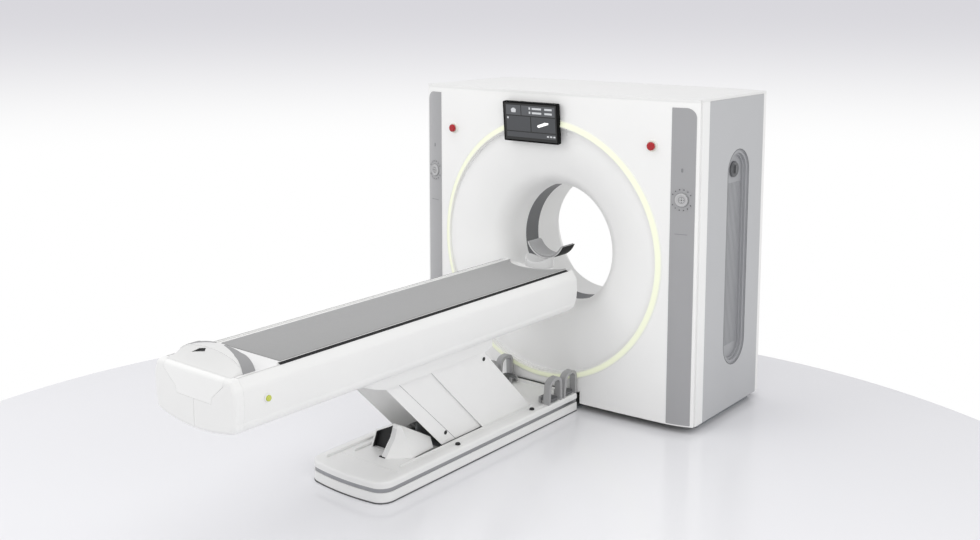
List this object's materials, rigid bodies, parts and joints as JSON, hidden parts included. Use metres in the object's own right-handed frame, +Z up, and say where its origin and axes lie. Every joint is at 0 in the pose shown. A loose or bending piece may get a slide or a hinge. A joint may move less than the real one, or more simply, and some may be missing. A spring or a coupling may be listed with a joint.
{
  "type": "ct scanner",
  "caption": "Computed tomography scanner with a round-bore gantry, a turning tube and detector inside, and a lifting patient table whose top slides through the bore.",
  "frame": {"origin": "point of the floor straight under the isocentre, in the scan plane", "axes": "+X to the right seen from the table's foot, +Y along the bore away from the table, +Z up"},
  "size_m": [1.94, 3.449, 1.85],
  "materials": {
    "cover_white": "satin moulded cover",
    "cover_grey": "satin painted side cover",
    "roof_white": "satin",
    "strip_grey": "matt film",
    "ring_glow": "translucent light guide",
    "window_grey": "matt film window",
    "display_black": "gloss",
    "display_glass": "gloss glass front",
    "key_white": "satin",
    "stop_red": "gloss",
    "stop_collar": "gloss",
    "frame_steel": "powder coat",
    "bearing_steel": "ground",
    "rotor_aluminium": "machined casting",
    "slip_brass": "turned",
    "tube_housing": "enamel",
    "electronics_case": "powder coat",
    "detector_case": "anodised",
    "belt_rubber": "matt",
    "housing_white": "gloss moulding",
    "cap_white": "satin moulding",
    "cradle_white": "gloss composite",
    "mattress_grey": "matt coated fabric",
    "grip_grey": "matt",
    "cup_white": "gloss composite",
    "cup_pad": "soft foam skin",
    "base_white": "satin moulding",
    "trim_silver": "brushed",
    "arm_cast": "enamel on casting",
    "panel_white": "satin sheet moulding",
    "button_yellow": "gloss",
    "pedal_grey": "matt",
    "guard_white": "enamel"
  },
  "bodies": {
    "gantry_and_base": {"front_cover": "cover_white", "light_ring": "ring_glow", "front_funnel": "cover_white", "scan_window": "window_grey", "rear_cover": "cover_white", "rear_funnel": "cover_white", "roof_panel": "roof_white", "corner_posts": "cover_white", "side_covers": "cover_grey", "side_recess_pans": "cover_grey", "control_strips": "strip_grey", "display_bezel": "display_black", "display_glass": "display_glass", "emergency_stop_collars": "stop_collar", "floor_frames": "frame_steel", "stator_frame": "frame_steel", "bearing_outer_race": "bearing_steel", "drive_motor": "frame_steel", "drive_belt": "belt_rubber", "base_skirt": "base_white", "base_trim_band": "trim_silver", "base_deck": "base_white", "lift_shroud": "base_white", "lower_bracket": "frame_steel", "pedal_guards": "guard_white"},
    "rotor": {"rotor_disc": "rotor_aluminium", "bearing_inner_race": "bearing_steel", "slip_ring": "slip_brass", "xray_tube": "tube_housing", "detector_array": "detector_case", "high_voltage_units": "electronics_case"},
    "pulley": {"drive_pulley": "bearing_steel"},
    "lock_right": {"side_lock_right": "strip_grey"},
    "lock_left": {"side_lock_left": "strip_grey"},
    "dial_right": {"control_dial_right": "key_white"},
    "dial_left": {"control_dial_left": "key_white"},
    "stop_right": {"emergency_stop_right": "stop_red"},
    "stop_left": {"emergency_stop_left": "stop_red"},
    "lift_arm_foot": {"foot_arm": "arm_cast", "foot_arm_cover": "panel_white"},
    "lift_arm_gantry": {"gantry_arm": "arm_cast", "gantry_arm_cover": "panel_white"},
    "table": {"table_housing": "housing_white", "lift_skirt": "cap_white", "table_carriage": "frame_steel", "foot_caps": "cap_white", "foot_fascia": "cap_white"},
    "release_right": {"release_button_right": "button_yellow"},
    "release_left": {"release_button_left": "button_yellow"},
    "tabletop": {"cradle": "cradle_white", "mattress": "mattress_grey", "pull_hoop": "cradle_white", "hoop_grips": "grip_grey", "head_cup": "cup_white", "head_cup_pad": "cup_pad", "guide_rails": "bearing_steel"},
    "pedal_right_1": {"foot_pedal_right_1": "pedal_grey"},
    "pedal_right_2": {"foot_pedal_right_2": "pedal_grey"},
    "pedal_left_1": {"foot_pedal_left_1": "pedal_grey"},
    "pedal_left_2": {"foot_pedal_left_2": "pedal_grey"}
  },
  "joints": [
    {"name": "rotor_spin", "type": "hinge", "parent": "gantry_and_base", "child": "rotor", "pos_m": [0, 0, 0.925], "axis": [0, 1, 0], "continuous": true},
    {"name": "pulley_spin", "type": "hinge", "parent": "gantry_and_base", "child": "pulley", "pos_m": [-0.708, 0, 0.19], "axis": [0, 1, 0], "continuous": true},
    {"name": "lock_right_turn", "type": "hinge", "parent": "gantry_and_base", "child": "lock_right", "pos_m": [0.936, 0.16, 1.425], "axis": [1, 0, 0], "range_deg": [0, 90]},
    {"name": "lock_left_turn", "type": "hinge", "parent": "gantry_and_base", "child": "lock_left", "pos_m": [-0.936, 0.16, 1.425], "axis": [-1, 0, 0], "range_deg": [0, 90]},
    {"name": "dial_right_press", "type": "slide", "parent": "gantry_and_base", "child": "dial_right", "axis": [-0.0881, 0.9961, 0], "range_m": [0, 0.0015], "stiffness_N_per_m": 1200},
    {"name": "dial_left_press", "type": "slide", "parent": "gantry_and_base", "child": "dial_left", "axis": [0.0881, 0.9961, 0], "range_m": [0, 0.0015], "stiffness_N_per_m": 1200},
    {"name": "stop_right_press", "type": "slide", "parent": "gantry_and_base", "child": "stop_right", "axis": [-0.072, 0.9974, 0], "range_m": [0, 0.005], "stiffness_N_per_m": 1500},
    {"name": "stop_left_press", "type": "slide", "parent": "gantry_and_base", "child": "stop_left", "axis": [0.072, 0.9974, 0], "range_m": [0, 0.005], "stiffness_N_per_m": 1500},
    {"name": "table_lift", "type": "hinge", "parent": "gantry_and_base", "child": "lift_arm_foot", "pos_m": [0, -1.355, 0.13], "axis": [-1, 0, 0], "range_deg": [-19, 15]},
    {"name": "gantry_arm_swing", "type": "hinge", "parent": "gantry_and_base", "child": "lift_arm_gantry", "pos_m": [0, -1.035, 0.13], "axis": [-1, 0, 0], "range_deg": [-19, 15]},
    {"name": "table_level", "type": "hinge", "parent": "lift_arm_foot", "child": "table", "pos_m": [0, -1.775, 0.55], "axis": [-1, 0, 0], "range_deg": [-15, 19]},
    {"name": "release_right_press", "type": "slide", "parent": "table", "child": "release_right", "axis": [-1, 0, 0], "range_m": [0, 0.004], "stiffness_N_per_m": 700},
    {"name": "release_left_press", "type": "slide", "parent": "table", "child": "release_left", "axis": [1, 0, 0], "range_m": [0, 0.004], "stiffness_N_per_m": 700},
    {"name": "tabletop_slide", "type": "slide", "parent": "table", "child": "tabletop", "axis": [0, 1, 0], "range_m": [0, 1.4]},
    {"name": "pedal_right_1_press", "type": "hinge", "parent": "gantry_and_base", "child": "pedal_right_1", "pos_m": [0.164, -0.598, 0.124], "axis": [0, 1, 0], "range_deg": [0, 5], "stiffness_Nm_per_rad": 60, "springref_deg": -171.89},
    {"name": "pedal_right_2_press", "type": "hinge", "parent": "gantry_and_base", "child": "pedal_right_2", "pos_m": [0.164, -0.449, 0.124], "axis": [0, 1, 0], "range_deg": [0, 5], "stiffness_Nm_per_rad": 60, "springref_deg": -171.89},
    {"name": "pedal_left_1_press", "type": "hinge", "parent": "gantry_and_base", "child": "pedal_left_1", "pos_m": [-0.164, -0.598, 0.124], "axis": [0, -1, 0], "range_deg": [0, 5], "stiffness_Nm_per_rad": 60, "springref_deg": -171.89},
    {"name": "pedal_left_2_press", "type": "hinge", "parent": "gantry_and_base", "child": "pedal_left_2", "pos_m": [-0.164, -0.449, 0.124], "axis": [0, -1, 0], "range_deg": [0, 5], "stiffness_Nm_per_rad": 60, "springref_deg": -171.89}
  ],
  "couplings": [
    {"joint": "pulley_spin", "follows": "rotor_spin", "ratio": 17.396},
    {"joint": "gantry_arm_swing", "follows": "table_lift", "ratio": 1},
    {"joint": "table_level", "follows": "table_lift", "ratio": -1}
  ]
}
